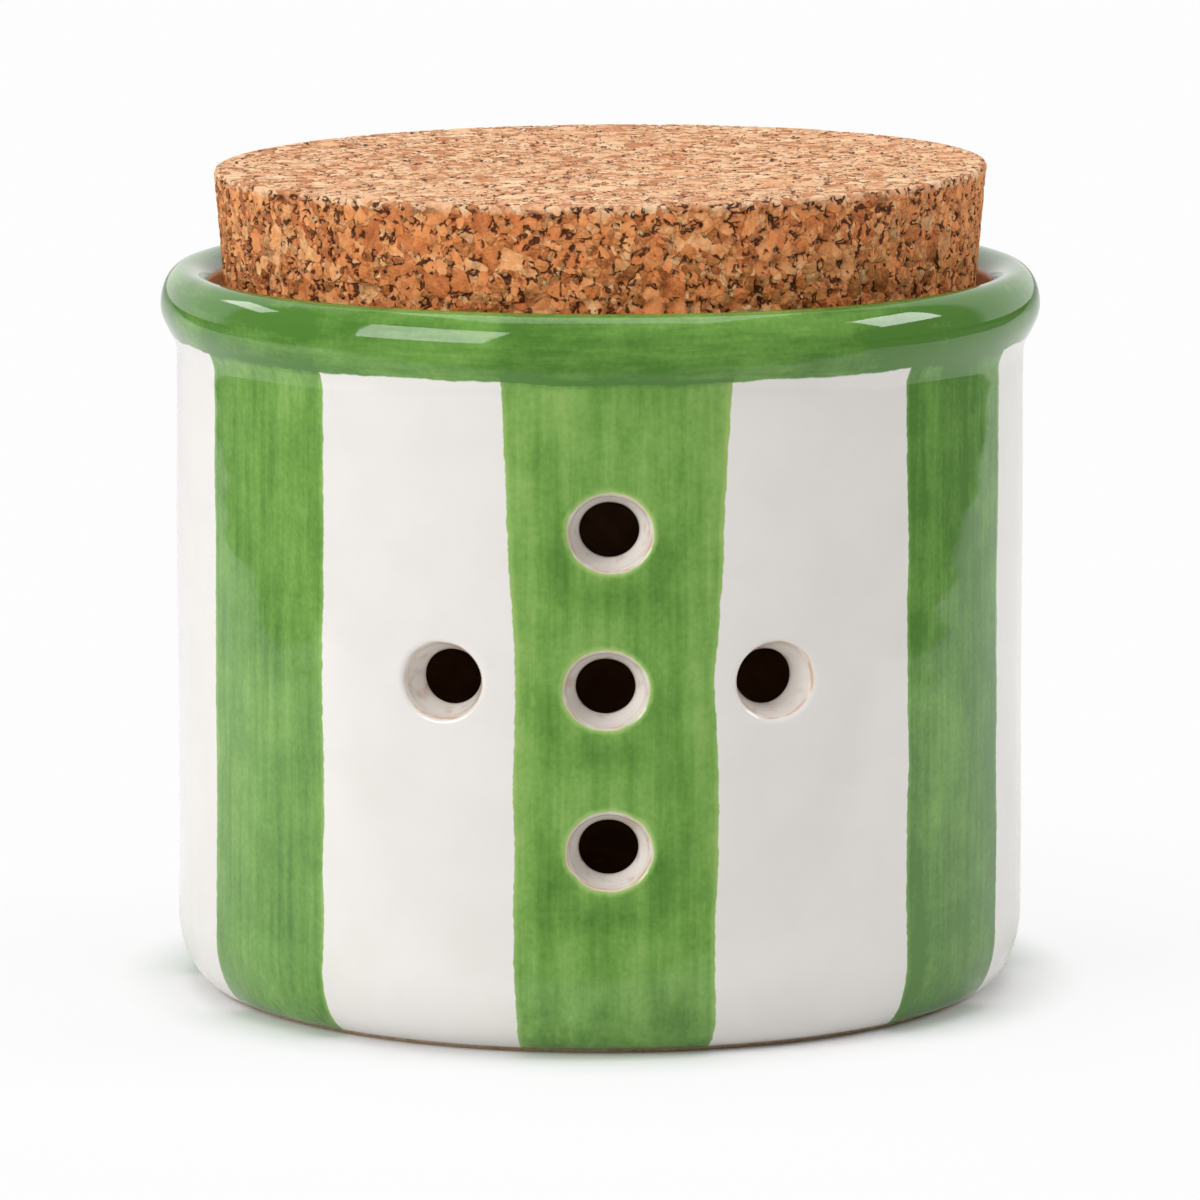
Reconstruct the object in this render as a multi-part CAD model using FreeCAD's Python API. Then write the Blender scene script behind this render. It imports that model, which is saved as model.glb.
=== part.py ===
import FreeCAD, Part
import os
from math import cos, pi, radians, sin, tan

# Garlic keeper: a straight-sided glazed jar with a rolled rim, a cross of vent holes in its front,
# and a tapered stopper of pressed cork granules that seats inside its mouth.
# Millimetres. The origin is the middle of the base on the table, +Z is up and the vents face -Y.

# Jar, outside
JAR_H = 107.0            # table to the top of the rolled rim
BODY_D = 125.8           # across the wall just above the rounded base
WALL_LEAN = 0.25         # how far the wall draws in, on radius, from the base to the rim
CORNER_W = 5.9           # rounded bottom edge, from the foot out to the wall
CORNER_H = 10.5          # and from the foot up to the straight wall
FOOT_H = 0.6             # bare clay foot below the glazed edge
FOOT_W = 5.0             # width of the foot ring
RECESS_DEPTH = 1.6       # hollow under the base, inside the foot ring
RECESS_SLOPE = 1.2       # run of the sloped step from the foot ring into the hollow

# Rolled rim
RIM_OUT = 2.35           # how far the roll stands out from the wall
RIM_SWELL_H = 7.2        # height over which the wall swells out into the roll
RIM_CROWN_H = 5.5        # from the roll's widest line up to its top
RIM_CROWN_W = 3.5        # and inwards to its top
LIP_W = 4.0              # from the roll's top inwards to the mouth
LIP_H = 3.6              # and down into it

# Jar, inside
WALL = 5.0               # thickness of the wall
FLOOR = 5.5              # thickness of the floor over the hollow
INNER_CORNER_R = 8.0     # rounding between floor and wall
SHOULDER_IN = 2.4        # how much the mouth narrows, on radius, down to the stopper's seat
SHOULDER_H = 5.2
SEAT_H = 7.0             # height of the tapered seat
SEAT_RUNOUT_H = 10.0     # height over which the wall thins again below the seat

# Vents: three down the middle and one each side
VENT_D_OUT = 10.9        # at the outside of the wall
VENT_D_IN = 8.2          # at the inside of the wall
VENT_MIDDLE_Z = 53.4     # height of the middle row
VENT_PITCH_Z = 22.8      # between the three in the middle column
VENT_SIDE_DEG = 22.3     # turn from the middle column to a side vent
VENT_SOFT_W = 1.3        # glaze-softened outer edge, as a sloped ring, on radius
VENT_SOFT_DEPTH = 1.0

# Stopper
TAPER_DEG = 5.0          # half-angle of the stopper's side and of the seat
STOPPER_GAP = 0.2        # between stopper and seat, on radius
STOPPER_UP = 15.2        # stands above the rim
STOPPER_BELOW = 2.4      # reaches below the seat
STOPPER_TOP_CHAMFER = 0.6    # worn top edge
STOPPER_BASE_CHAMFER = 1.5

# Outline heights and radii that follow from the sizes above
TAPER = tan(radians(TAPER_DEG))
BASE_R = BODY_D / 2
NECK_R = BASE_R - WALL_LEAN
FOOT_R = BASE_R - CORNER_W
CORNER_TOP_Z = FOOT_H + CORNER_H
ROLL_R = NECK_R + RIM_OUT
ROLL_Z = JAR_H - RIM_CROWN_H
NECK_Z = ROLL_Z - RIM_SWELL_H
CROWN_R = ROLL_R - RIM_CROWN_W
LIP_Z = JAR_H - LIP_H
SEAT_TOP_R = CROWN_R - LIP_W - SHOULDER_IN
SEAT_TOP_Z = LIP_Z - SHOULDER_H
SEAT_BASE_R = SEAT_TOP_R - SEAT_H * TAPER
SEAT_BASE_Z = SEAT_TOP_Z - SEAT_H
RUNOUT_Z = SEAT_BASE_Z - SEAT_RUNOUT_H
FLOOR_Z = RECESS_DEPTH + FLOOR

OUTER_STEPS = 5          # straight steps along each curve that shows, all within 0.15 of it
INNER_STEPS = 3          # and along each one inside the jar
LEVEL = 1e-6             # heights closer than this are the same


def wall_radius(z):
    """Outside radius of the straight part of the wall at height z."""
    up = (z - CORNER_TOP_Z) / (NECK_Z - CORNER_TOP_Z)
    return BASE_R + (NECK_R - BASE_R) * up


def stopper_radius(z):
    """Radius of the stopper's side at height z: the seat's taper, less the gap."""
    return SEAT_TOP_R - STOPPER_GAP + (z - SEAT_TOP_Z) * TAPER


def at(r, z):
    """Point of a half-section, at radius r and height z."""
    return FreeCAD.Vector(r, 0, z)


def shares(steps):
    return [step / steps for step in range(1, steps + 1)]


def quarter(centre, across, up, start, end, steps):
    """Points of a quarter oval, without its first. Turns count from +Z towards +X."""
    turns = [start + (end - start) * share for share in shares(steps)]
    return [centre + at(across * sin(turn), up * cos(turn)) for turn in turns]


def swelling(a, b, steps):
    """Points of an S curve from a to b, without a. It is upright at both ends."""
    return [at(a.x + (b.x - a.x) * (1 - cos(pi * share)) / 2, a.z + (b.z - a.z) * share)
            for share in shares(steps)]


def outside():
    """From the foot up the rounded corner and the wall, and over the roll to its top."""
    neck = at(NECK_R, NECK_Z)
    corner = quarter(at(FOOT_R, CORNER_TOP_Z), CORNER_W, CORNER_H, pi, pi / 2, OUTER_STEPS)
    roll = swelling(neck, at(ROLL_R, ROLL_Z), OUTER_STEPS)
    crown = quarter(at(CROWN_R, ROLL_Z), RIM_CROWN_W, RIM_CROWN_H, pi / 2, 0, OUTER_STEPS)
    return [at(FOOT_R, 0), at(FOOT_R, FOOT_H), *corner, neck, *roll, *crown]


def inside():
    """From the top of the roll down over lip, shoulder, seat and wall to the middle of the floor."""
    lip = quarter(at(CROWN_R, LIP_Z), LIP_W, LIP_H, 0, -pi / 2, OUTER_STEPS)
    shoulder = swelling(lip[-1], at(SEAT_TOP_R, SEAT_TOP_Z), INNER_STEPS)
    seat_base = at(SEAT_BASE_R, SEAT_BASE_Z)
    wall_top = at(wall_radius(RUNOUT_Z) - WALL, RUNOUT_Z)
    corner_top = at(wall_radius(FLOOR_Z) - WALL, FLOOR_Z + INNER_CORNER_R)
    corner_middle = corner_top - at(INNER_CORNER_R, 0)
    corner = quarter(corner_middle, INNER_CORNER_R, INNER_CORNER_R, pi / 2, pi, INNER_STEPS)
    return [*lip, *shoulder, seat_base, wall_top, corner_top, *corner, at(0, FLOOR_Z)]


def underside():
    """From the middle of the base out over the hollow to the foot ring."""
    ring_r = FOOT_R - FOOT_W
    return [at(0, RECESS_DEPTH), at(ring_r - RECESS_SLOPE, RECESS_DEPTH), at(ring_r, 0)]


def revolved(points):
    """Solid of revolution about Z from the corners of a closed half-section."""
    face = Part.Face(Part.makePolygon(points + points[:1]))
    return face.revolve(FreeCAD.Vector(0, 0, 0), FreeCAD.Vector(0, 0, 1), 360)


def vent_places():
    """Turn about Z and height of each vent."""
    column = [(0, VENT_MIDDLE_Z + row * VENT_PITCH_Z) for row in (-1, 0, 1)]
    sides = [(side * VENT_SIDE_DEG, VENT_MIDDLE_Z) for side in (-1, 1)]
    return column + sides


def tapered_plug(outwards, z, r_from, r_to, d_at_from, d_at_to):
    """Cone along a vent's axis, between two distances from the jar's axis."""
    start = outwards * r_from + FreeCAD.Vector(0, 0, z)
    return Part.makeCone(d_at_from / 2, d_at_to / 2, r_to - r_from, start, outwards)


def vent_cutter(turn_deg, z):
    """Plug that pierces the wall square to its surface: the tapered bore and its softened outer edge."""
    outwards = FreeCAD.Vector(sin(radians(turn_deg)), -cos(radians(turn_deg)), 0)
    face = wall_radius(z)
    past = WALL / 2
    widening = (VENT_D_OUT - VENT_D_IN) * past / WALL
    bore = tapered_plug(outwards, z, face - WALL - past, face + past, VENT_D_IN - widening, VENT_D_OUT + widening)
    slope = 2 * VENT_SOFT_W / VENT_SOFT_DEPTH
    mouth = VENT_D_OUT + 2 * VENT_SOFT_W
    soft = tapered_plug(outwards, z, face - VENT_SOFT_DEPTH, face + past, VENT_D_OUT, mouth + slope * past)
    return bore.fuse(soft)


def jar():
    body = revolved(outside() + inside() + underside())
    return body.cut([vent_cutter(*place) for place in vent_places()])


def rim_edges(shape, z):
    """The round edge that lies flat at height z."""
    return [edge for edge in shape.Edges if edge.isClosed() and abs(edge.CenterOfMass.z - z) < LEVEL]


def cork_stopper():
    top_z = JAR_H + STOPPER_UP
    base_z = SEAT_BASE_Z - STOPPER_BELOW
    height = top_z - base_z
    plug = Part.makeCone(stopper_radius(base_z), stopper_radius(top_z), height, FreeCAD.Vector(0, 0, base_z))
    plug = plug.makeChamfer(STOPPER_TOP_CHAMFER, rim_edges(plug, top_z))
    return plug.makeChamfer(STOPPER_BASE_CHAMFER, rim_edges(plug, base_z))


PARTS = {
    "jar": jar,
    "cork_stopper": cork_stopper,
}


def main():
    os.makedirs("parts", exist_ok=True)
    for name, make in PARTS.items():
        make().exportStep(f"parts/{name}.step")


main()
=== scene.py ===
from functools import reduce
from math import atan2, cos, exp, pi, radians, sin, sqrt

import bmesh
import bpy
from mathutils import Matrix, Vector, noise


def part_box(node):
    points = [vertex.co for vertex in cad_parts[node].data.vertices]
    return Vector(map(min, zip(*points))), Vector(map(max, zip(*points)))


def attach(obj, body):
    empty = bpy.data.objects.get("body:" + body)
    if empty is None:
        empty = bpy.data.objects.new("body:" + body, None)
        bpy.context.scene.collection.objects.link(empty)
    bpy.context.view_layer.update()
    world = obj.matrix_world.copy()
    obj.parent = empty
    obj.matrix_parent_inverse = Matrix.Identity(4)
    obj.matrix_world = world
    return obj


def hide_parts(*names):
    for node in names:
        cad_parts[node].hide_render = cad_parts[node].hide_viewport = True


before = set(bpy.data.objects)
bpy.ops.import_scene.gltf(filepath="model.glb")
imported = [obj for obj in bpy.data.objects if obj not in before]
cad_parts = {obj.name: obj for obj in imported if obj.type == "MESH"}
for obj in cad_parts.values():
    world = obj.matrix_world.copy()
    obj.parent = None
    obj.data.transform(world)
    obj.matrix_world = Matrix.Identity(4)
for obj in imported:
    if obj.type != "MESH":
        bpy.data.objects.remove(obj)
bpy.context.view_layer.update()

# A glazed garlic keeper with hand-painted stripes and a stopper of pressed cork granules.
# Metres, in the CAD frame. Sizes given in millimetres are turned into metres by MM.
MM = 0.001

# Camera: 0 looks along +Y, and the frame is square
VIEW_AZIMUTH = -1.2
VIEW_ELEVATION = 9.0
VIEW_DISTANCE = 1.2745
VIEW_TARGET_Z = 56.55 * MM
SENSOR = 36.0
FOCAL_IN_FRAMES = 7.1556    # focal length as a share of the frame's width

# Jar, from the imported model's box and its named sizes
JAR_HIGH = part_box("jar")[1]
ROLL_R = JAR_HIGH.x
JAR_H = JAR_HIGH.z
RIM_OUT = 2.35 * MM
WALL_LEAN = 0.25 * MM
CORNER_W = 5.9 * MM
CORNER_H = 10.5 * MM
FOOT_H = 0.6 * MM
FOOT_W = 5.0 * MM
RECESS = 1.6 * MM
RIM_SWELL = 7.2 * MM
RIM_CROWN_H = 5.5 * MM
RIM_CROWN_W = 3.5 * MM
LIP_W = 4.0 * MM
LIP_H = 3.6 * MM
WALL = 5.0 * MM
FLOOR = 5.5 * MM
INNER_CORNER_R = 8.0 * MM
SEAT_IN = 2.4 * MM
SEAT_SHOULDER_H = 5.2 * MM
SEAT_H = 7.0 * MM
SEAT_RUNOUT_H = 10.0 * MM
SEAT_TAPER = 0.0875         # how far the seat and the stopper widen for each metre up
PAINT_END = radians(-63)    # turn of the lip, from its top, where the painted glaze ends

# Unevenness of a jar made by hand: how wide its waves are, and how deep
WAVE_WIDTH = 38 * MM        # slow waves in the wall
WAVE_DEPTH = 0.14 * MM
RING_WIDTH = 9 * MM         # level rings left by throwing
RING_DEPTH = 0.05 * MM
SAG_WIDTH = 45 * MM         # dips in the height of the rim
SAG_DEPTH = 0.22 * MM
DRAWN_IN = 0.16 * MM        # how far the wall stands inside the model's, to leave room for the waves

NECK_R = ROLL_R - RIM_OUT
BASE_R = NECK_R + WALL_LEAN
FOOT_R = BASE_R - CORNER_W
CORNER_TOP_Z = FOOT_H + CORNER_H
ROLL_Z = JAR_H - RIM_CROWN_H
NECK_Z = ROLL_Z - RIM_SWELL
CROWN_R = ROLL_R - RIM_CROWN_W
LIP_R = CROWN_R - LIP_W
LIP_Z = JAR_H - LIP_H
SEAT_TOP_Z = LIP_Z - SEAT_SHOULDER_H
SEAT_TOP_R = LIP_R - SEAT_IN
SEAT_BASE_Z = SEAT_TOP_Z - SEAT_H
SEAT_BASE_R = SEAT_TOP_R - SEAT_H * SEAT_TAPER
RUNOUT_Z = SEAT_BASE_Z - SEAT_RUNOUT_H
FLOOR_Z = RECESS + FLOOR

# Vents: nominal places from the model, and how far each was pierced off them by hand
VENT_CELL = 10 * MM         # half the square of wall that each vent's rings fill
VENT_STEPS = 16             # mesh steps along one side of that square
VENT_MIDDLE_Z = 53.4 * MM
VENT_PITCH_Z = 22.8 * MM
VENT_SIDE = 24.4 * MM       # from the middle column to a side vent, along the wall
VENT_SOFT_R = 6.65 * MM     # where the glaze starts to round into the hole
VENT_OUT_R = 5.45 * MM
VENT_IN_R = 4.1 * MM
VENT_SOFT_DEPTH = 1.3 * MM
VENT_WIDE = 1.042           # a vent is a little wider than high
VENTS = (                   # column, row, shift along the wall, shift in height
    (0, -1, 0.0 * MM, -0.35 * MM),
    (0, 0, -0.45 * MM, 0.0 * MM),
    (0, 1, 0.1 * MM, -0.35 * MM),
    (-1, 0, 0.0 * MM, 0.8 * MM),
    (1, 0, 0.1 * MM, 0.7 * MM),
)

# Stopper
CORK_LOW, CORK_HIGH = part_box("cork_stopper")
CORK_TOP_R = CORK_HIGH.x
CORK_EDGE = 0.7 * MM
CORK_CHAMFER = 1.5 * MM
CORK_TILT = 0.0096          # the stopper sits a little higher on the right
CORK_STEPS = 180            # mesh steps along one side of the square that is bent into its top

# Studio
WORLD_LIGHT = 0.36          # even light from all round
BACKGROUND = 0.985          # the floor, where it has faded into the background
DARK_STUDIO = 0.25          # what a reflection shows on the camera's side
SHEET_HALF_WIDTH = 0.39     # white sheet that a reflection shows round the jar
SHEET_FRONT = -0.12

# Painted stripes: middle and half-width in degrees from the middle of the front, and how much
# wider the brush left them under the rim
STRIPES = (
    (0.9, 13.2, 1.8),
    (55.0, 11.4, 0.3),
    (106.0, 11.8, 0.8),
    (156.2, 12.2, 0.5),
    (206.4, 11.6, 1.0),
    (257.0, 12.0, 0.6),
    (307.8, 11.8, 0.3),
)
BAND_Z = 97.2 * MM          # lower edge of the green band on the rim


def srgb(red, green, blue):
    """Linear colour from the 0 to 255 values that a screen shows."""
    def linear(value):
        value /= 255
        return value / 12.92 if value <= 0.04045 else ((value + 0.055) / 1.055) ** 2.4
    return (linear(red), linear(green), linear(blue), 1.0)


# Colours
WHITE_GLAZE = srgb(239, 235, 231)
GREY_GLAZE = srgb(236, 232, 227)
GREEN_THIN = srgb(160, 191, 104)
GREEN_LIGHT = srgb(138, 179, 92)
GREEN = srgb(114, 161, 72)
GREEN_THICK = srgb(80, 127, 46)
THIN_GLAZE = srgb(214, 172, 138)
BORE_GLAZE = srgb(250, 242, 234)
INNER_GLAZE = srgb(228, 190, 134)
CLAY = srgb(204, 178, 146)
CLAY_DARK = srgb(150, 118, 88)


class Tree:
    """Adds nodes to one node tree. An input may be a number, a tuple or another node's socket."""

    def __init__(self, tree):
        self.tree = tree

    def put(self, socket, value):
        if isinstance(value, bpy.types.NodeSocket):
            self.tree.links.new(value, socket)
        elif value is not None:
            socket.default_value = value

    def add(self, kind, inputs=None, **settings):
        node = self.tree.nodes.new(kind)
        for name, value in settings.items():
            setattr(node, name, value)
        for key, value in (inputs or {}).items():
            self.put(node.inputs[key], value)
        return node

    def maths(self, operation, *values):
        node = self.add("ShaderNodeMath", dict(enumerate(values)), operation=operation)
        return node.outputs[0]

    def vector(self, operation, *values):
        node = self.add("ShaderNodeVectorMath", dict(enumerate(values)), operation=operation)
        single = operation in ("LENGTH", "DOT_PRODUCT", "DISTANCE")
        return node.outputs["Value" if single else "Vector"]

    def split(self, place):
        return self.add("ShaderNodeSeparateXYZ", {0: place}).outputs

    def ease(self, value, low, high, start=0.0, end=1.0):
        """Smooth step from `start` at `low` to `end` at `high`."""
        inputs = {0: value, 1: low, 2: high, 3: start, 4: end}
        return self.add("ShaderNodeMapRange", inputs, interpolation_type="SMOOTHSTEP").outputs[0]

    def either(self, share, a, b):
        """Number `a` at share 0, `b` at share 1."""
        return self.add("ShaderNodeMix", {0: share, 2: a, 3: b}).outputs[0]

    def colour(self, share, a, b):
        """Colour `a` at share 0, `b` at share 1."""
        return self.add("ShaderNodeMix", {0: share, 6: a, 7: b}, data_type="RGBA").outputs[2]

    def ramp(self, value, stops):
        node = self.add("ShaderNodeValToRGB", {0: value})
        marks = node.color_ramp.elements
        while len(marks) < len(stops):
            marks.new(0.5)
        for mark, (place, shade) in zip(marks, stops):
            mark.position = place
            mark.color = shade
        return node.outputs[0]

    def cloud(self, place, size, detail=2.0, rough=0.5):
        """Noise between 0 and 1 whose lumps are about `size` metres across."""
        inputs = {"Vector": place, "Scale": 1 / size, "Detail": detail, "Roughness": rough}
        return self.add("ShaderNodeTexNoise", inputs).outputs[0]

    def cells(self, place, size, feature="F1"):
        inputs = {"Vector": place, "Scale": 1 / size}
        return self.add("ShaderNodeTexVoronoi", inputs, feature=feature).outputs


def new_material(name):
    """An empty node material, and its tree."""
    material = bpy.data.materials.new(name)
    material.use_nodes = True
    material.node_tree.nodes.clear()
    return material, Tree(material.node_tree)


def finish_surface(t, colour, rough, bump=None, bump_distance=MM, ior=1.5, specular=0.5):
    """Ends a material in one Principled shader."""
    shader = t.add("ShaderNodeBsdfPrincipled", {"Base Color": colour, "Roughness": rough})
    shader.inputs["IOR"].default_value = ior
    shader.inputs["Specular IOR Level"].default_value = specular
    if bump is not None:
        normal = t.add("ShaderNodeBump", {"Height": bump, "Distance": bump_distance}).outputs[0]
        t.put(shader.inputs["Normal"], normal)
    out = t.add("ShaderNodeOutputMaterial")
    t.put(out.inputs["Surface"], shader.outputs[0])


# Jar shape

def wall_radius(z):
    """Outside radius of the straight part of the wall."""
    up = (z - CORNER_TOP_Z) / (NECK_Z - CORNER_TOP_Z)
    return BASE_R + (NECK_R - BASE_R) * up


def sway(t):
    """Eases from 0 to 1 with level ends."""
    return (1 - cos(pi * t)) / 2


def inner_radius(z):
    """Inside radius from the floor's corner up to the lip."""
    straight = wall_radius(z) - WALL
    corner_z = FLOOR_Z + INNER_CORNER_R
    if z < corner_z:
        return straight - INNER_CORNER_R + sqrt(max(INNER_CORNER_R ** 2 - (corner_z - z) ** 2, 0))
    if z < RUNOUT_Z:
        return straight
    if z < SEAT_BASE_Z:
        return straight + (SEAT_BASE_R - straight) * sway((z - RUNOUT_Z) / SEAT_RUNOUT_H)
    if z < SEAT_TOP_Z:
        return SEAT_BASE_R + (z - SEAT_BASE_Z) * SEAT_TAPER
    return SEAT_TOP_R + SEAT_IN * sway((z - SEAT_TOP_Z) / SEAT_SHOULDER_H)


def spread(stops, counts):
    """Values from stop to stop, with each span cut into its count of equal steps."""
    values = [stops[0]]
    for low, high, count in zip(stops, stops[1:], counts):
        values += [low + (high - low) * i / count for i in range(1, count + 1)]
    return values


def uneven(point):
    """The same point on a hand-thrown jar, whose walls and rim aren't quite true."""
    x, y, z = point
    r = sqrt(x * x + y * y)
    if r < FOOT_R - FOOT_W:
        return point
    wave = noise.noise(Vector((x, y, z * 1.4)) / WAVE_WIDTH)
    ring = noise.noise(Vector((x * 0.25, y * 0.25, z * 2.2 + 0.5)) / RING_WIDTH)
    sag = noise.noise(Vector((x, y, 0.3)) / SAG_WIDTH)
    above = max(0.0, min(1.0, (z - NECK_Z) / RIM_SWELL))
    outwards = WAVE_DEPTH * wave + RING_DEPTH * ring * (1 - above) - DRAWN_IN
    lift = SAG_DEPTH * (sag - 1) * above
    return Vector((x * (1 + outwards / r), y * (1 + outwards / r), z + lift))


WALL_R = (BASE_R + NECK_R) / 2
HALF_TURN = pi * WALL_R
ALONG = (-HALF_TURN, -VENT_SIDE - VENT_CELL, -VENT_SIDE + VENT_CELL, -VENT_CELL,
         VENT_CELL, VENT_SIDE - VENT_CELL, VENT_SIDE + VENT_CELL, HALF_TURN)
COLUMNS = spread(ALONG, (84, VENT_STEPS, 3, VENT_STEPS, 3, VENT_STEPS, 84))
VENT_ROWS = [VENT_MIDDLE_Z + row * VENT_PITCH_Z for row in (-1, 0, 1)]
UP = (CORNER_TOP_Z, *(z + side * VENT_CELL for z in VENT_ROWS for side in (-1, 1)), NECK_Z)
LINES = spread(UP, (6, VENT_STEPS, 2, VENT_STEPS, 2, VENT_STEPS, 5))
INNER_LINES = [z for z in LINES if z <= VENT_ROWS[-1] + VENT_CELL + MM / 10]


def on_wall(along, z, r):
    turn = along / WALL_R
    return Vector((r * sin(turn), -r * cos(turn), z))


def quarter(centre, across, up, start, end, steps):
    """Points of an elliptic arc, without its first."""
    angles = [start + (end - start) * i / steps for i in range(1, steps + 1)]
    return [(centre[0] + across * sin(a), centre[1] + up * cos(a)) for a in angles]


def swelling(a, b, steps):
    """Points of an S curve from a to b, upright at both ends, without its first."""
    shares = [i / steps for i in range(1, steps + 1)]
    return [(a[0] + (b[0] - a[0]) * sway(t), a[1] + (b[1] - a[1]) * t) for t in shares]


def foot_section():
    """Half-section of the bare clay, from near the middle of the underside out round the foot ring."""
    ring = FOOT_R - FOOT_W
    flat = [(ring * share, RECESS) for share in (0.12, 0.3, 0.5, 0.7, 0.85, 0.95)]
    hollow = quarter((ring - MM, RECESS - MM), MM, MM, 0, pi / 2, 4)
    ground = [(ring + 0.3 * MM, 0), (FOOT_R - FOOT_W / 2, 0), (FOOT_R - 0.35 * MM, 0)]
    edge = [(FOOT_R - 0.05 * MM, 0.15 * MM), (FOOT_R, 0.4 * MM), (FOOT_R, FOOT_H)]
    return flat + hollow + [(ring, RECESS / 5)] + ground + edge


def corner_section():
    """Half-section of the rounded corner, from the foot up to the straight wall."""
    return quarter((FOOT_R, CORNER_TOP_Z), CORNER_W, CORNER_H, pi, pi / 2, 18)[:-1]


def rim_section():
    """Half-section over the roll, as far into the mouth as the painted glaze goes."""
    roll = swelling((NECK_R, NECK_Z), (ROLL_R, ROLL_Z), 12)
    crown = quarter((CROWN_R, ROLL_Z), RIM_CROWN_W, RIM_CROWN_H, pi / 2, 0, 12)
    return roll + crown + quarter((CROWN_R, LIP_Z), LIP_W, LIP_H, 0, PAINT_END, 7)


def throat_section():
    """Half-section from there down inside to the top of the vents' squares."""
    lip = quarter((CROWN_R, LIP_Z), LIP_W, LIP_H, PAINT_END, -pi / 2, 3)
    down = spread((LIP_Z, SEAT_TOP_Z, SEAT_BASE_Z, INNER_LINES[-1]), (8, 6, 6))
    return lip + [(inner_radius(z), z) for z in down[1:-1]]


def below_inner_wall():
    """Half-section down inside from the lowest wall line to near the middle of the floor."""
    low = spread((LINES[0], FLOOR_Z), (10,))[1:]
    corner = [(inner_radius(z), z) for z in low]
    edge = corner[-1][0]
    return corner + [(edge * share, FLOOR_Z) for share in (0.95, 0.8, 0.6, 0.4, 0.2, 0.08)]


class Shell:
    """Points and faces of the jar, with what the glaze needs to know at each point."""

    GLAZED, INSIDE, BARE = range(3)

    def __init__(self):
        self.points = []
        self.faces = []
        self.slots = []
        self.from_vent = []

    def point(self, place, from_vent=20.0):
        self.points.append(uneven(place))
        self.from_vent.append(from_vent)
        return len(self.points) - 1

    def row(self, r, z):
        """One ring of points, one for each column."""
        return [self.point(on_wall(s, z, r)) for s in COLUMNS[:-1]]

    def face(self, corners, slot):
        self.faces.append(corners)
        self.slots.append(slot)

    def join(self, low, high, slot, skip=None):
        count = len(low)
        for i in range(count):
            j = (i + 1) % count
            if skip is None or not skip(i):
                self.face((low[i], low[j], high[j], high[i]), slot)

    def join_all(self, rows, slot):
        for low, high in zip(rows, rows[1:]):
            self.join(low, high, slot)

    def cap(self, row, z, slot):
        middle = self.point(Vector((0, 0, z)))
        for a, b in zip(row, row[1:] + row[:1]):
            self.face((a, b, middle), slot)


def vent_squares():
    """First column and first line of each vent's square, with its middle after its own shift."""
    for column, row, shift_along, shift_up in VENTS:
        along, z = column * VENT_SIDE, VENT_MIDDLE_Z + row * VENT_PITCH_Z
        first_column = min(range(len(COLUMNS)), key=lambda i: abs(COLUMNS[i] - (along - VENT_CELL)))
        first_line = min(range(len(LINES)), key=lambda i: abs(LINES[i] - (z - VENT_CELL)))
        yield first_column, first_line, along + shift_along, z + shift_up


def vent_section():
    """Radius, depth and distance from the thin-glaze ring, from the soft edge to the inner edge."""
    soft = []
    for i in range(11):
        a = pi / 2 * i / 10
        soft.append((VENT_SOFT_R - (VENT_SOFT_R - VENT_OUT_R) * sin(a), VENT_SOFT_DEPTH * (1 - cos(a))))
    inner_edge = 0.5 * MM
    bore = [(VENT_OUT_R + (VENT_IN_R - VENT_OUT_R) * i / 5,
             VENT_SOFT_DEPTH + (WALL - inner_edge - VENT_SOFT_DEPTH) * i / 5) for i in range(1, 6)]
    edge = []
    for i in range(1, 4):
        a = pi / 2 * i / 3
        edge.append((VENT_IN_R + inner_edge * (1 - cos(a)), WALL - inner_edge * (1 - sin(a))))
    section = soft + bore + edge
    run = [0.0]
    for (r0, d0), (r1, d1) in zip(section, section[1:]):
        run.append(run[-1] + sqrt((r1 - r0) ** 2 + (d1 - d0) ** 2))
    ring_at = 1.0 * MM
    return [(r, depth, (ring_at - length) / MM) for (r, depth), length in zip(section, run)]


def square_border(first_column, first_line):
    """Column and line numbers round a vent's square."""
    n = VENT_STEPS
    steps = ([(i, 0) for i in range(n)] + [(n, i) for i in range(n)]
             + [(n - i, n) for i in range(n)] + [(0, n - i) for i in range(n)])
    return [(first_column + i, first_line + j) for i, j in steps]


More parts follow.
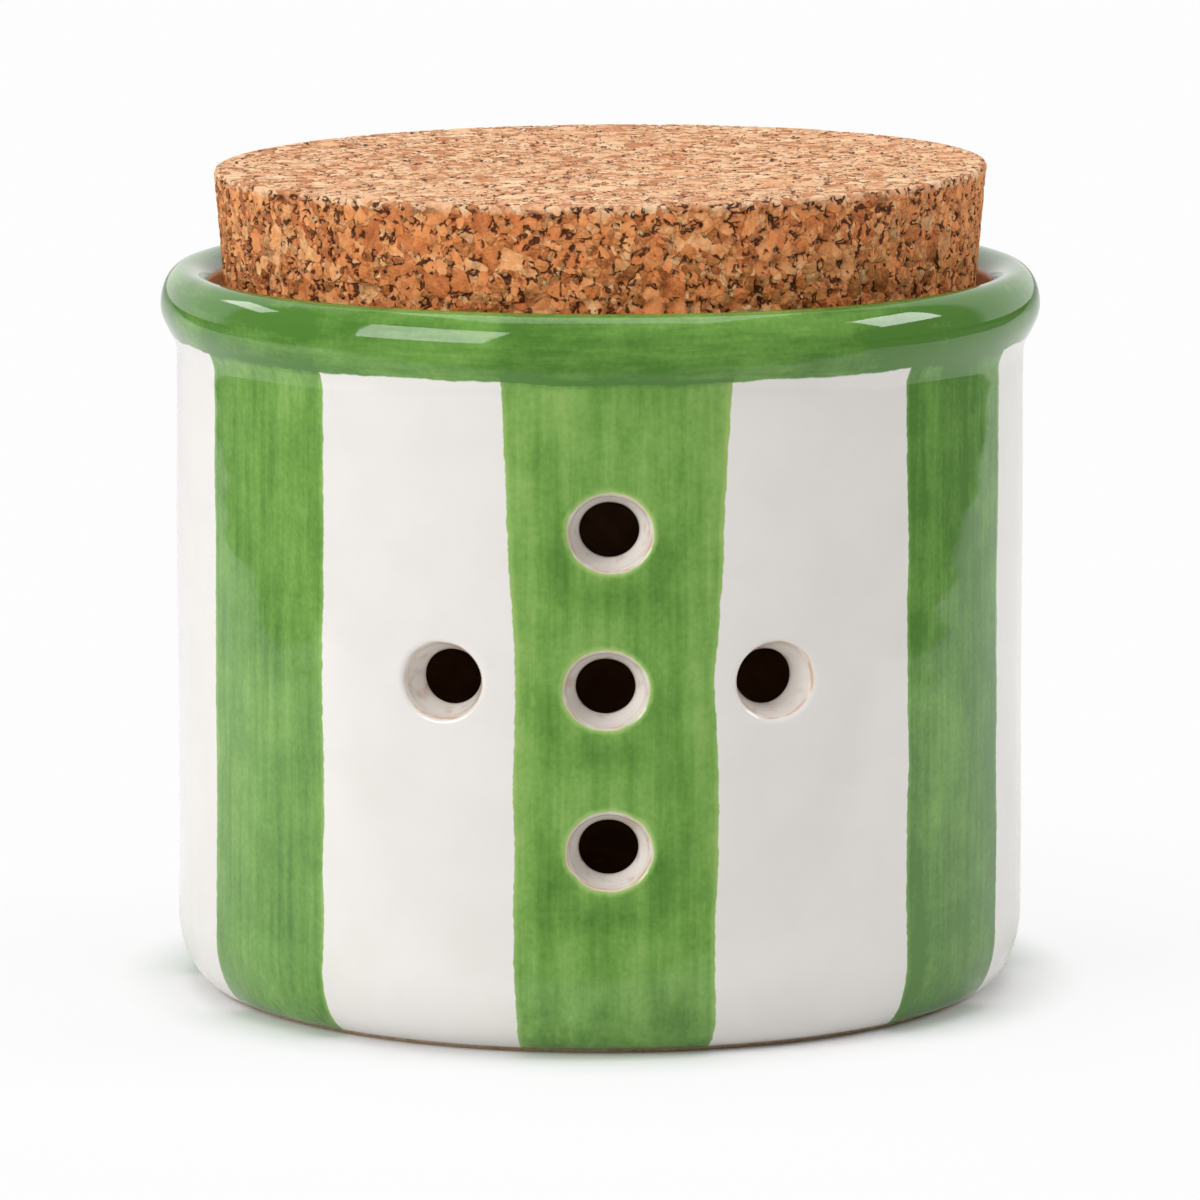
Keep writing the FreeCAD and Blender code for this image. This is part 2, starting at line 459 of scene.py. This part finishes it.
def pierce(shell, outer, inner, square):
    """Rings from the outer wall through one vent to the inner wall."""
    first_column, first_line, along, z = square
    border = square_border(first_column, first_line)
    corners = [Vector((COLUMNS[i], LINES[j])) for i, j in border]
    middle = Vector((along, z))
    cell = Vector((COLUMNS[first_column] + VENT_CELL, LINES[first_line] + VENT_CELL))
    ways = [atan2(c.y - cell.y, c.x - cell.x) for c in corners]

    def circle(r, way, depth=0.0):
        """Point round the hole on the unrolled wall, widened so that its sides don't close in."""
        wide = VENT_WIDE * WALL_R / (WALL_R - depth)
        return middle + Vector((r * wide * cos(way), r / VENT_WIDE * sin(way)))

    shares = [sway(i / 16) * 2 for i in range(1, 8)]
    last = [outer[j][i] for i, j in border]
    for share in shares:
        flat = [c.lerp(circle(VENT_SOFT_R, way), share) for c, way in zip(corners, ways)]
        off = [((p - middle).length - VENT_SOFT_R) / MM + 1.0 for p in flat]
        ring = [shell.point(on_wall(p.x, p.y, wall_radius(p.y)), away) for p, away in zip(flat, off)]
        shell.join(last, ring, Shell.GLAZED)
        last = ring
    section = vent_section()
    for r, depth, from_ring in section:
        flat = [circle(r, way, depth) for way in ways]
        ring = [shell.point(on_wall(p.x, p.y, wall_radius(p.y) - depth), from_ring) for p in flat]
        shell.join(last, ring, Shell.GLAZED if depth < WALL - 0.4 * MM else Shell.INSIDE)
        last = ring
    edge_r, _, from_ring = section[-1]
    for share in reversed(shares):
        flat = [c.lerp(circle(edge_r, way, WALL), share) for c, way in zip(corners, ways)]
        ring = [shell.point(on_wall(p.x, p.y, inner_radius(p.y)), from_ring - 1) for p in flat]
        shell.join(last, ring, Shell.INSIDE)
        last = ring
    shell.join(last, [inner[j][i] for i, j in border], Shell.INSIDE)


def make_shell():
    shell = Shell()
    squares = list(vent_squares())

    def in_square(line):
        """Tells for each column whether a vent's square fills the wall at this line."""
        starts = [first for first, low, _, _ in squares if low <= line < low + VENT_STEPS]
        return lambda column: any(first <= column < first + VENT_STEPS for first in starts)

    foot = [shell.row(r, z) for r, z in foot_section()]
    corner = [shell.row(r, z) for r, z in corner_section()]
    outer = [shell.row(wall_radius(z), z) for z in LINES]
    rim = [shell.row(r, z) for r, z in rim_section()]
    throat = [shell.row(r, z) for r, z in throat_section()]
    inner = [shell.row(inner_radius(z), z) for z in INNER_LINES]
    floor = [shell.row(r, z) for r, z in below_inner_wall()]
    shell.join_all(foot, Shell.BARE)
    shell.join_all(foot[-1:] + corner + outer[:1], Shell.GLAZED)
    for line, (low, high) in enumerate(zip(outer, outer[1:])):
        shell.join(low, high, Shell.GLAZED, in_square(line))
    shell.join_all(outer[-1:] + rim, Shell.GLAZED)
    shell.join_all(rim[-1:] + throat + inner[-1:], Shell.INSIDE)
    for line, (low, high) in enumerate(zip(inner, inner[1:])):
        shell.join(low, high, Shell.INSIDE, in_square(line))
    shell.join_all(inner[:1] + floor, Shell.INSIDE)
    shell.cap(foot[0], RECESS, Shell.BARE)
    shell.cap(floor[-1], FLOOR_Z, Shell.INSIDE)
    for square in squares:
        pierce(shell, outer, inner, square)
    return shell


def mesh_object(name, points, faces):
    mesh = bpy.data.meshes.new(name)
    mesh.from_pydata(points, [], faces)
    ob = bpy.data.objects.new(name, mesh)
    bpy.context.scene.collection.objects.link(ob)
    return ob


def tidy_mesh(mesh):
    """Drops unused points, turns every face outwards and shades smooth."""
    work = bmesh.new()
    work.from_mesh(mesh)
    bmesh.ops.delete(work, geom=[v for v in work.verts if not v.link_faces], context="VERTS")
    bmesh.ops.recalc_face_normals(work, faces=work.faces)
    for face in work.faces:
        face.smooth = True
    work.to_mesh(mesh)
    work.free()


# Jar materials

def round_place(t):
    """Object place, its turn from the front in radians, and its height."""
    place = t.add("ShaderNodeTexCoord").outputs["Object"]
    x, y, z = t.split(place)
    turn = t.maths("ARCTAN2", x, t.maths("MULTIPLY", y, -1.0))
    return place, turn, z


def outside_stripe(t, turn, z):
    """Metres outside the nearest stripe's straight edge, below 0 inside it."""
    high = t.ease(z, 50 * MM, 98 * MM)

    def beyond(stripe):
        middle, half, wider = (radians(value) for value in stripe)
        off = t.maths("PINGPONG", t.maths("SUBTRACT", turn, middle), pi)
        return t.maths("SUBTRACT", off, t.maths("MULTIPLY_ADD", high, wider, half))

    nearest = reduce(lambda a, b: t.maths("MINIMUM", a, b), [beyond(stripe) for stripe in STRIPES])
    return t.maths("MULTIPLY", nearest, WALL_R)


def brush_streaks(t, place, along, size):
    """Streaks of a loaded brush, drawn out the way that `along` shrinks."""
    drawn = t.vector("MULTIPLY", place, along)
    fine = t.cloud(drawn, size, detail=5.0, rough=0.62)
    broad = t.cloud(drawn, size * 4.5, detail=2.0)
    return t.either(0.5, fine, broad)


def jar_glaze():
    """White glaze with green stripes and band, bare rings round the vents and a bare foot."""
    material, t = new_material("painted_glaze")
    place, turn, z = round_place(t)
    vent = t.add("ShaderNodeAttribute", attribute_name="from_vent").outputs["Fac"]
    vent_wander = t.maths("SUBTRACT", t.cloud(place, 3.2 * MM, detail=2.0), 0.5)
    vent = t.maths("MULTIPLY_ADD", vent_wander, 0.8, vent)

    wander = t.maths("SUBTRACT", t.cloud(place, 17 * MM, detail=1.0), 0.5)
    bristle = t.maths("SUBTRACT", t.cloud(place, 1.5 * MM, detail=3.0), 0.5)
    loose = t.maths("MULTIPLY_ADD", wander, 1.5 * MM, t.maths("MULTIPLY", bristle, 0.55 * MM))
    beyond = t.maths("ADD", outside_stripe(t, turn, z), loose)
    stripe = t.ease(beyond, 0.12 * MM, -0.12 * MM)

    band_wander = t.maths("SUBTRACT", t.cloud(place, 12 * MM, detail=2.0), 0.5)
    band_height = t.maths("MULTIPLY_ADD", band_wander, 1.6 * MM, z)
    band_height = t.maths("MULTIPLY_ADD", bristle, 0.4 * MM, band_height)
    band = t.ease(band_height, BAND_Z - 0.15 * MM, BAND_Z + 0.15 * MM)

    upright = brush_streaks(t, place, (1.0, 1.0, 0.06), 1.5 * MM)
    level = brush_streaks(t, place, (0.10, 0.10, 1.0), 1.2 * MM)
    patch = t.cloud(place, 9 * MM, detail=4.0, rough=0.6)
    speck = t.cloud(place, 0.8 * MM, detail=3.0, rough=0.6)
    streak = t.either(band, upright, level)
    paint_and_shade = t.maths("MULTIPLY_ADD", t.maths("SUBTRACT", streak, 0.5), 1.7, 0.50)
    paint_and_shade = t.maths("MULTIPLY_ADD", t.maths("SUBTRACT", patch, 0.5), 0.85, paint_and_shade)
    paint_and_shade = t.maths("MULTIPLY_ADD", t.maths("SUBTRACT", speck, 0.5), 0.45, paint_and_shade)
    paint_and_shade = t.maths("MULTIPLY_ADD", band, 0.2, paint_and_shade)
    # Thicker where a stripe lies under the band, darker low down, and painted shade on the stripes to
    # either side
    twice = t.maths("MULTIPLY", band, t.ease(beyond, 1.8 * MM, -1.2 * MM))
    paint_and_shade = t.maths("MULTIPLY_ADD", twice, 0.12, paint_and_shade)
    paint_and_shade = t.maths("MULTIPLY_ADD", t.ease(z, 45 * MM, 12 * MM), 0.1, paint_and_shade)
    # Painted shade: the green is deepened towards the jar's left and right sides, more on the right
    sideways = t.split(place)[0]
    paint_and_shade = t.maths("ADD", paint_and_shade, t.ease(sideways, -20 * MM, -50 * MM, 0.0, 0.15))
    paint_and_shade = t.maths("ADD", paint_and_shade, t.ease(sideways, 20 * MM, 50 * MM, 0.0, 0.34))
    ridge = t.maths("MULTIPLY", t.ease(band_height, BAND_Z - 0.9 * MM, BAND_Z),
                    t.ease(band_height, BAND_Z + 1.3 * MM, BAND_Z))
    paint_and_shade = t.maths("ADD", paint_and_shade, t.maths("MULTIPLY", ridge, t.maths("MULTIPLY", stripe, 0.28)))

    edge = t.ease(beyond, -0.95 * MM, -0.05 * MM)
    edge = t.maths("MULTIPLY", edge, t.maths("SUBTRACT", 1.0, band))
    halo = t.ease(vent, 1.25, 0.2)
    paint_and_shade = t.maths("SUBTRACT", paint_and_shade, t.maths("MULTIPLY", edge, 0.3))
    paint_and_shade = t.maths("SUBTRACT", paint_and_shade, t.maths("MULTIPLY", halo, 0.7))
    pool = t.add("ShaderNodeAttribute", attribute_name="pool").outputs["Fac"]
    paint_and_shade = t.maths("MULTIPLY_ADD", pool, 0.34, paint_and_shade)
    green = t.ramp(paint_and_shade, ((0.0, GREEN_THIN), (0.30, GREEN_LIGHT), (0.58, GREEN), (1.0, GREEN_THICK)))

    mottle = t.cloud(place, 9 * MM, detail=3.0)
    white = t.colour(t.ease(mottle, 0.35, 0.72), WHITE_GLAZE, GREY_GLAZE)
    covered = t.maths("MAXIMUM", stripe, band)
    covered = t.maths("MULTIPLY", covered, t.ease(vent, -0.1, 0.55))
    colour = t.colour(covered, white, green)

    in_bore = t.ease(vent, -0.15, -0.6)
    colour = t.colour(t.maths("MULTIPLY", in_bore, 0.9), colour, BORE_GLAZE)
    smudge = t.ease(t.cloud(place, 2.2 * MM, detail=3.0), 0.52, 0.75, 0.0, 0.5)
    colour = t.colour(t.maths("MULTIPLY", in_bore, smudge), colour, THIN_GLAZE)
    ring = t.maths("MULTIPLY", t.ease(vent, -0.55, -0.12), t.ease(vent, 0.3, -0.05))
    ring = t.maths("MULTIPLY", ring, t.ease(t.cloud(place, 3.0 * MM, detail=3.0), 0.30, 0.62, 0.25, 0.95))
    colour = t.colour(ring, colour, THIN_GLAZE)

    foot_wander = t.maths("MULTIPLY", t.maths("SUBTRACT", t.cloud(place, 3 * MM), 0.5), 0.5 * MM)
    bare = t.ease(t.maths("ADD", z, foot_wander), 0.8 * MM, 0.55 * MM)
    colour = t.colour(bare, colour, CLAY)

    slow = t.cloud(place, 26 * MM, detail=1.0)
    peel = t.cloud(place, 2.6 * MM, detail=2.0)
    pinholes = t.ease(t.cells(place, 4.2 * MM)[0], 0.035, 0.02)
    height = t.maths("MULTIPLY_ADD", slow, 0.30, t.maths("MULTIPLY", peel, 0.010))
    height = t.maths("MULTIPLY_ADD", covered, 0.012, height)
    height = t.maths("SUBTRACT", height, t.maths("MULTIPLY", pinholes, 0.03))
    rough = t.ease(t.cloud(place, 6 * MM, detail=3.0), 0.3, 0.7, 0.03, 0.08)
    rough = t.maths("MAXIMUM", rough, t.maths("MULTIPLY", bare, 0.8))
    finish_surface(t, colour, rough, height)
    return material


def inside_glaze():
    material, t = new_material("inside_glaze")
    place, _, _ = round_place(t)
    throwing = t.cloud(t.vector("MULTIPLY", place, (0.1, 0.1, 1.0)), 3.2 * MM, detail=2.0)
    tone = t.cloud(place, 8 * MM, detail=3.0)
    colour = t.ramp(t.either(0.4, tone, throwing), ((0.3, srgb(212, 170, 112)), (0.7, INNER_GLAZE)))
    rough = t.ease(tone, 0.3, 0.7, 0.16, 0.28)
    finish_surface(t, colour, rough, t.maths("MULTIPLY", throwing, 0.12))
    return material


def bare_clay():
    material, t = new_material("bare_clay")
    place, _, _ = round_place(t)
    grit = t.cloud(place, 0.9 * MM, detail=4.0, rough=0.65)
    tone = t.cloud(place, 12 * MM, detail=3.0)
    shade = t.either(0.55, tone, grit)
    colour = t.ramp(shade, ((0.3, CLAY_DARK), (0.55, CLAY), (0.8, srgb(222, 200, 170))))
    rough = t.ease(grit, 0.3, 0.7, 0.75, 0.92)
    finish_surface(t, colour, rough, t.maths("MULTIPLY", grit, 0.16))
    return material


def vent_pool(point):
    """How much glaze has gathered at a point of the outside, just under each vent."""
    amount = 0.0
    for column, row, shift_along, shift_up in VENTS:
        along = atan2(point.x, -point.y) * WALL_R - column * VENT_SIDE - shift_along
        below = VENT_MIDDLE_Z + row * VENT_PITCH_Z + shift_up - point.z
        amount += exp(-(along / (6.5 * MM)) ** 2 - ((below - 9.2 * MM) / (2.6 * MM)) ** 2)
        beside = abs(along) - 7.5 * MM
        amount += 0.8 * exp(-(beside / (2.5 * MM)) ** 2 - ((below - 4 * MM) / (4 * MM)) ** 2)
    return min(amount, 1.0)


def make_jar():
    shell = make_shell()
    ob = mesh_object("glazed_jar", shell.points, shell.faces)
    for name, values in (("from_vent", shell.from_vent), ("pool", [vent_pool(p) for p in shell.points])):
        ob.data.attributes.new(name, "FLOAT", "POINT").data.foreach_set("value", values)
    ob.data.polygons.foreach_set("material_index", shell.slots)
    for material in (jar_glaze(), inside_glaze(), bare_clay()):
        ob.data.materials.append(material)
    tidy_mesh(ob.data)
    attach(ob, "jar")
    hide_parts("jar")


# Cork

def granules(t, place):
    """Pressed cork at a place: tone and level of its granule, metres to its edge, its tilt, and pits."""
    for size, reach in ((3.0 * MM, 1.3 * MM), (0.8 * MM, 0.55 * MM)):
        bend = t.add("ShaderNodeTexNoise", {"Vector": place, "Scale": 1 / size, "Detail": 2.0}).outputs[1]
        bend = t.vector("MULTIPLY", t.vector("SUBTRACT", bend, (0.5, 0.5, 0.5)), (reach,) * 3)
        place = t.vector("ADD", place, bend)
    found = []
    for size in (3.3 * MM, 1.75 * MM, 0.95 * MM):
        cell = t.cells(place, size)
        edge = t.maths("MULTIPLY", t.cells(place, size, "DISTANCE_TO_EDGE")[0], size)
        chance, tone, level = t.split(cell["Color"])
        lean = t.vector("SUBTRACT", cell["Color"], (0.5, 0.5, 0.5))
        tilt = t.vector("DOT_PRODUCT", t.vector("SUBTRACT", place, cell["Position"]), lean)
        found.append((chance, tone, level, edge, tilt))
    big = t.maths("GREATER_THAN", found[0][0], 0.84)
    middle = t.maths("GREATER_THAN", found[1][0], 0.42)
    tone, level, edge, tilt = (
        t.either(big, t.either(middle, found[2][i], found[1][i]), found[0][i]) for i in (1, 2, 3, 4))
    edge = t.maths("MINIMUM", edge, found[0][3])
    open_place = t.ease(t.cloud(place, 1.3 * MM, detail=1.0), 0.53, 0.60)
    pit = t.maths("MULTIPLY", t.ease(edge, 0.20 * MM, 0.06 * MM), open_place)
    return tone, level, edge, tilt, pit


def cork_relief():
    """Modifier tree that cuts the granules and the worn top edge into the plain stopper, always inwards."""
    group = bpy.data.node_groups.new("cork_relief", "GeometryNodeTree")
    for way in ("INPUT", "OUTPUT"):
        group.interface.new_socket("Geometry", in_out=way, socket_type="NodeSocketGeometry")
    t = Tree(group)
    given, result = t.add("NodeGroupInput"), t.add("NodeGroupOutput")
    place = t.add("GeometryNodeInputPosition").outputs[0]
    normal = t.add("GeometryNodeInputNormal").outputs[0]
    keep = t.add("GeometryNodeStoreNamedAttribute",
                 {"Geometry": given.outputs[0], "Name": "flat_place", "Value": place},
                 data_type="FLOAT_VECTOR", domain="POINT")
    tone, level, _, tilt, pit = granules(t, place)
    flat = t.ease(t.maths("ABSOLUTE", t.split(normal)[2]), 0.55, 0.95)
    lost = t.ease(tone, 0.96, 0.97)
    side = t.maths("MULTIPLY_ADD", level, 0.22 * MM, t.maths("MULTIPLY", tilt, 0.55))
    side = t.maths("SUBTRACT", side, t.maths("MULTIPLY_ADD", pit, 0.40 * MM, 0.18 * MM))
    side = t.maths("SUBTRACT", side, t.maths("MULTIPLY", lost, 0.35 * MM))
    side = t.maths("MINIMUM", side, 0.0)
    sanded = t.maths("MULTIPLY", pit, -0.30 * MM)
    sanded = t.maths("SUBTRACT", sanded, t.maths("MULTIPLY", lost, 0.25 * MM))
    height = t.either(flat, side, sanded)
    crumbled = t.ease(t.maths("ABSOLUTE", t.maths("SUBTRACT", flat, 0.4)), 0.45, 0.1, 0.0, 0.5 * MM)
    height = t.maths("SUBTRACT", height, t.maths("MULTIPLY", crumbled, t.ease(level, 0.9, 0.3)))
    offset = t.add("ShaderNodeVectorMath", {0: normal, "Scale": height}, operation="SCALE").outputs[0]
    moved = t.add("GeometryNodeSetPosition", {"Geometry": keep.outputs[0], "Offset": offset})
    t.put(result.inputs[0], moved.outputs[0])
    return group


def cork_material():
    material, t = new_material("pressed_cork")
    place = t.add("ShaderNodeAttribute", attribute_name="flat_place").outputs["Vector"]
    tone, level, edge, tilt, pit = granules(t, place)
    sanded = t.ease(t.split(place)[2], CORK_HIGH.z - 2.2 * MM, CORK_HIGH.z - 0.9 * MM)
    grain = t.cloud(place, 0.5 * MM, detail=4.0, rough=0.7)
    cloudy = t.cloud(place, 1.5 * MM, detail=3.0)
    shade = t.maths("MULTIPLY_ADD", tone, 0.72, 0.14)
    shade = t.maths("MULTIPLY_ADD", t.maths("SUBTRACT", cloudy, 0.5), 0.8, shade)
    shade = t.maths("MULTIPLY_ADD", t.maths("SUBTRACT", grain, 0.5), 0.8, shade)
    colour = t.ramp(shade, (
        (0.0, srgb(196, 108, 56)), (0.3, srgb(234, 141, 79)), (0.68, srgb(252, 170, 106)),
        (0.9, srgb(255, 196, 138)), (1.0, srgb(255, 212, 163))))
    pale = t.ramp(shade, (
        (0.2, srgb(204, 134, 88)), (0.45, srgb(248, 192, 146)), (0.85, srgb(255, 225, 186))))
    colour = t.colour(t.maths("MULTIPLY", sanded, 0.85), colour, pale)
    # Painted shade: the thin gaps between granules are coloured darker brown
    gap_shade = t.maths("MULTIPLY", t.ease(edge, 0.13 * MM, 0.02 * MM), t.ease(level, 0.1, 0.9, 0.05, 0.5))
    colour = t.colour(gap_shade, colour, srgb(146, 82, 44))
    # Painted shade: the pits are coloured dark brown as well as cut into the stopper
    colour = t.colour(t.maths("MULTIPLY", pit, 0.95), colour, srgb(88, 44, 20))
    fleck = t.ease(t.cells(place, 1.7 * MM)[0], 0.13, 0.07, 0.0, 0.7)
    colour = t.colour(fleck, colour, srgb(112, 62, 32))
    flake = t.maths("MULTIPLY", tilt, t.either(sanded, 2.0 / MM, 0.25 / MM))
    height = t.maths("MULTIPLY_ADD", grain, 0.28, t.maths("MULTIPLY", cloudy, 0.2))
    height = t.maths("ADD", height, flake)
    height = t.maths("SUBTRACT", height, t.maths("MULTIPLY", pit, 0.25))
    height = t.maths("SUBTRACT", height, t.maths("MULTIPLY", fleck, 0.08))
    rough = t.ease(grain, 0.3, 0.7, 0.72, 0.9)
    finish_surface(t, colour, rough, height, specular=0.3)
    return material


def disc_point(a, b):
    """Point of the unit disc from a point of the square from -1 to 1, with even spacing."""
    if a == 0 and b == 0:
        return 0.0, 0.0
    if abs(a) > abs(b):
        reach, turn = a, pi / 4 * b / a
    else:
        reach, turn = b, pi / 2 - pi / 4 * a / b
    return reach * cos(turn), reach * sin(turn)


def disc(points, faces, r, z):
    """Adds a round sheet of even quads, and gives the numbers of the points round its edge."""
    n, first = CORK_STEPS, len(points)
    for j in range(n + 1):
        for i in range(n + 1):
            x, y = disc_point(2 * i / n - 1, 2 * j / n - 1)
            points.append(Vector((r * x, r * y, z)))
    for j in range(n):
        for i in range(n):
            a = first + j * (n + 1) + i
            faces.append((a, a + 1, a + n + 2, a + n + 1))
    walk = ([(i, 0) for i in range(n)] + [(n, j) for j in range(n)]
            + [(n - i, n) for i in range(n)] + [(0, n - j) for j in range(n)])
    return [first + j * (n + 1) + i for i, j in walk]


def stopper_mesh():
    """Plain tapered stopper with a worn top edge and a chamfered base, in quads of half a millimetre."""
    top, base = CORK_HIGH.z - CORK_TILT * CORK_TOP_R, CORK_LOW.z
    base_r = CORK_TOP_R - (top - base) * SEAT_TAPER
    edge = quarter((CORK_TOP_R - CORK_EDGE, top - CORK_EDGE), CORK_EDGE, CORK_EDGE, 0, pi / 2, 3)
    run = spread((top - CORK_EDGE, base + CORK_CHAMFER), (62,))[1:]
    side = [(CORK_TOP_R - (top - z) * SEAT_TAPER, z) for z in run]
    foot = [(base_r - CORK_CHAMFER * share, base + CORK_CHAMFER * (1 - share)) for share in (0.33, 0.66)]
    points, faces = [], []
    last = disc(points, faces, CORK_TOP_R - CORK_EDGE, top)
    for r, z in edge + side + foot:
        ring = []
        for number in last:
            way = Vector((points[number].x, points[number].y, 0)).normalized()
            points.append(way * r + Vector((0, 0, z)))
            ring.append(len(points) - 1)
        faces += [(a, b, d, c) for a, b, c, d in zip(last, last[1:] + last[:1], ring, ring[1:] + ring[:1])]
        last = ring
    rim = disc(points, faces, base_r - CORK_CHAMFER, base)
    faces += [(a, b, d, c) for a, b, c, d in zip(last, last[1:] + last[:1], rim, rim[1:] + rim[:1])]
    return points, faces


def make_cork():
    ob = mesh_object("cork", *stopper_mesh())
    tidy_mesh(ob.data)
    modifier = ob.modifiers.new("relief", "NODES")
    modifier.node_group = cork_relief()
    graph = bpy.context.evaluated_depsgraph_get()
    cut = bpy.data.meshes.new_from_object(ob.evaluated_get(graph))
    ob.modifiers.clear()
    ob.data = cut
    for point in cut.vertices:
        above = max(0.0, min(1.0, (point.co.z - LIP_Z) / (CORK_HIGH.z - LIP_Z)))
        point.co.z += CORK_TILT * point.co.x * above
    cut.materials.clear()
    cut.materials.append(cork_material())
    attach(ob, "stopper")
    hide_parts("cork_stopper")


# Studio

def add_camera():
    data = bpy.data.cameras.new("camera")
    data.sensor_width = SENSOR
    data.lens = FOCAL_IN_FRAMES * SENSOR
    camera = bpy.data.objects.new("camera", data)
    a, e = radians(VIEW_AZIMUTH), radians(VIEW_ELEVATION)
    back = Vector((sin(a) * cos(e), -cos(a) * cos(e), sin(e)))
    camera.location = Vector((0, 0, VIEW_TARGET_Z)) + back * VIEW_DISTANCE
    camera.rotation_euler = (-back).to_track_quat("-Z", "Y").to_euler()
    bpy.context.scene.collection.objects.link(camera)
    bpy.context.scene.camera = camera


def softbox(name, place, width, height, watts):
    """A rectangular lamp that faces the jar."""
    data = bpy.data.lights.new(name, "AREA")
    data.shape = "RECTANGLE"
    data.size, data.size_y, data.energy = width, height, watts
    lamp = bpy.data.objects.new(name, data)
    lamp.location = place
    aim = Vector((0, 0, VIEW_TARGET_Z)) - Vector(place)
    lamp.rotation_euler = aim.to_track_quat("-Z", "Y").to_euler()
    bpy.context.scene.collection.objects.link(lamp)


def ray_kinds(t):
    """1 for what the camera sees directly or through glass, and 1 for what it sees in a reflection."""
    rays = t.add("ShaderNodeLightPath").outputs
    return t.maths("MAXIMUM", rays["Is Camera Ray"], rays["Is Transmission Ray"]), rays["Is Glossy Ray"]


def add_world():
    """White all round. In reflections it is white behind the jar and dark on the camera's side."""
    world = bpy.data.worlds.new("studio")
    world.use_nodes = True
    world.node_tree.nodes.clear()
    t = Tree(world.node_tree)
    direct, mirrored = ray_kinds(t)
    backwards = t.split(t.add("ShaderNodeTexCoord").outputs["Generated"])[1]
    strength = t.either(mirrored, WORLD_LIGHT, t.ease(backwards, 0.40, 0.50, DARK_STUDIO, 1.0))
    strength = t.either(direct, strength, 1.0)
    sky = t.add("ShaderNodeBackground", {"Color": (1, 1, 1, 1), "Strength": strength})
    out = t.add("ShaderNodeOutputWorld")
    t.put(out.inputs["Surface"], sky.outputs[0])
    bpy.context.scene.world = world


def white_sheet(t, place):
    """1 on the white sheet that the jar stands on, which widens towards the back."""
    x, y, _ = t.split(place)
    edge = t.maths("MULTIPLY_ADD", t.maths("MAXIMUM", y, 0.0), 0.5, SHEET_HALF_WIDTH)
    beside = t.ease(t.maths("SUBTRACT", t.maths("ABSOLUTE", x), edge), 0.02, -0.02)
    return t.maths("MULTIPLY", beside, t.ease(y, SHEET_FRONT - 0.02, SHEET_FRONT + 0.02))


def add_floor():
    """Pale floor that fades into the white background. Reflections show it as a sheet in a dark studio."""
    floor = mesh_object("floor", [(-9, -9, 0), (9, -9, 0), (9, 14, 0), (-9, 14, 0)], [(0, 1, 2, 3)])
    material, t = new_material("pale_floor")
    place = t.add("ShaderNodeTexCoord").outputs["Object"]
    direct, mirrored = ray_kinds(t)
    grey = t.either(mirrored, 0.78, t.either(white_sheet(t, place), DARK_STUDIO, 0.95))
    grey = t.either(direct, grey, 0.92)
    colour = t.add("ShaderNodeCombineColor", {0: grey, 1: grey, 2: grey}).outputs[0]
    shader = t.add("ShaderNodeBsdfPrincipled", {"Base Color": colour, "Roughness": 0.6})
    shader.inputs["Specular IOR Level"].default_value = 0.0
    white = t.add("ShaderNodeEmission", {"Color": (1, 1, 1, 1), "Strength": BACKGROUND})
    away = t.vector("LENGTH", place)
    away = t.maths("ADD", t.ease(away, 0.058, 0.074, 0.0, 0.85), t.ease(away, 0.074, 0.18, 0.0, 0.15))
    mix = t.add("ShaderNodeMixShader", {0: t.maths("MULTIPLY", direct, away), 1: shader.outputs[0],
                                        2: white.outputs[0]})
    out = t.add("ShaderNodeOutputMaterial")
    t.put(out.inputs["Surface"], mix.outputs[0])
    floor.data.materials.append(material)


def add_lights():
    softbox("left_box", (-1.15, -1.0, 0.85), 1.1, 0.8, 15.5)
    softbox("left_back_box", (-1.2, 0.7, 0.9), 0.6, 0.25, 2.2)
    softbox("right_box", (1.35, 0.0, 0.85), 0.6, 0.5, 7)
    softbox("top_box", (0.0, 0.1, 1.5), 1.1, 1.1, 8)


bpy.context.scene.view_settings.view_transform = "Standard"
add_camera()
add_world()
add_floor()
add_lights()
make_jar()
make_cork()
